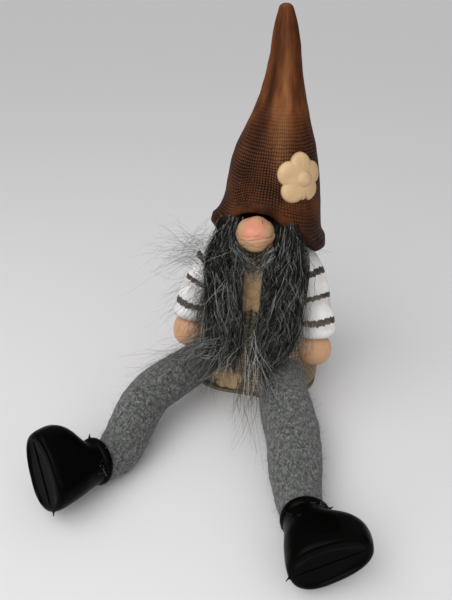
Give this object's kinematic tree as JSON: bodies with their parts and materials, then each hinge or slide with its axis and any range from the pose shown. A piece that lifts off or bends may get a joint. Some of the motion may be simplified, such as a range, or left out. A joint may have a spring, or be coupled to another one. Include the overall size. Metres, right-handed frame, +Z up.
{
  "type": "gnome figurine",
  "caption": "Shelf-sitting gnome figurine with a tall pointed hat, button nose, parted fur beard, jointless cast body and limp stuffed felt legs in moulded boots.",
  "frame": {"origin": "centre of the flat seat's underside, on the surface that the figure sits on", "axes": "+Z up, the figure faces -Y, its own left side is +X"},
  "size_m": [0.1214, 0.1462, 0.165],
  "materials": {
    "torso_cast": "cast resin with a knitted relief, matte",
    "hat_paint": "cast resin with a woven relief, painted brown and rubbed, satin",
    "cream_paint": "cast resin, cream paint, satin",
    "tan_paint": "cast resin, tan paint, matte",
    "skin_paint": "cast resin, flesh paint, satin",
    "sleeve_paint": "cast resin, white paint with dark stripes, matte",
    "beard_fur": "long grey and black faux fur",
    "beard_backing": "knitted backing cloth",
    "leg_felt": "grey mottled wool felt",
    "stuffing": "loose fibre filling",
    "pad_felt": "thin felt pad",
    "boot_vinyl": "black moulded vinyl, satin gloss"
  },
  "bodies": {
    "figure": {"seat_pad": "pad_felt", "torso": "torso_cast", "head": "torso_cast", "nose": "skin_paint", "hat": "hat_paint", "hat_flower": "cream_paint", "chest_flower": "tan_paint", "belly_flower": "cream_paint", "right_sleeve": "sleeve_paint", "left_sleeve": "sleeve_paint", "right_hand": "skin_paint", "left_hand": "skin_paint", "right_beard_backing": "beard_backing", "left_beard_backing": "beard_backing", "right_beard_pile": "beard_fur", "left_beard_pile": "beard_fur", "right_leg_tab": "leg_felt", "left_leg_tab": "leg_felt"},
    "right_hip": {"right_leg_top": "leg_felt"},
    "right_thigh": {"right_thigh": "leg_felt", "right_thigh_stuffing": "stuffing"},
    "right_shin": {"right_shin": "leg_felt", "right_shin_stuffing": "stuffing"},
    "right_boot": {"right_boot": "boot_vinyl", "right_ankle_plug": "leg_felt"},
    "left_hip": {"left_leg_top": "leg_felt"},
    "left_thigh": {"left_thigh": "leg_felt", "left_thigh_stuffing": "stuffing"},
    "left_shin": {"left_shin": "leg_felt", "left_shin_stuffing": "stuffing"},
    "left_boot": {"left_boot": "boot_vinyl", "left_ankle_plug": "leg_felt"}
  },
  "joints": [
    {"name": "right_hip_spread", "type": "hinge", "parent": "figure", "child": "right_hip", "pos_m": [-0.025, -0.0332, 0.0183], "axis": [0, 0, -1], "range_deg": [-15, 30]},
    {"name": "right_hip_swing", "type": "hinge", "parent": "right_hip", "child": "right_thigh", "pos_m": [-0.025, -0.0332, 0.0183], "axis": [0.8845, -0.4666, 0], "range_deg": [-20, 50]},
    {"name": "right_knee", "type": "hinge", "parent": "right_thigh", "child": "right_shin", "pos_m": [-0.0365, -0.055, 0.016], "axis": [0.9897, -0.143, 0], "range_deg": [-30, 40]},
    {"name": "right_ankle", "type": "hinge", "parent": "right_shin", "child": "right_boot", "pos_m": [-0.0402, -0.0806, 0.0084], "axis": [0.7701, -0.2916, 0.5675], "range_deg": [-25, 25]},
    {"name": "left_hip_spread", "type": "hinge", "parent": "figure", "child": "left_hip", "pos_m": [0.019, -0.0348, 0.0134], "axis": [0, 0, 1], "range_deg": [-15, 30]},
    {"name": "left_hip_swing", "type": "hinge", "parent": "left_hip", "child": "left_thigh", "pos_m": [0.019, -0.0348, 0.0134], "axis": [0.9635, 0.2676, 0], "range_deg": [-20, 50]},
    {"name": "left_knee", "type": "hinge", "parent": "left_thigh", "child": "left_shin", "pos_m": [0.026, -0.06, 0.012], "axis": [0.9806, 0.1961, 0], "range_deg": [-30, 40]},
    {"name": "left_ankle", "type": "hinge", "parent": "left_shin", "child": "left_boot", "pos_m": [0.0313, -0.0865, 0.0087], "axis": [0.4076, -0.0116, -0.9131], "range_deg": [-25, 25]}
  ]
}
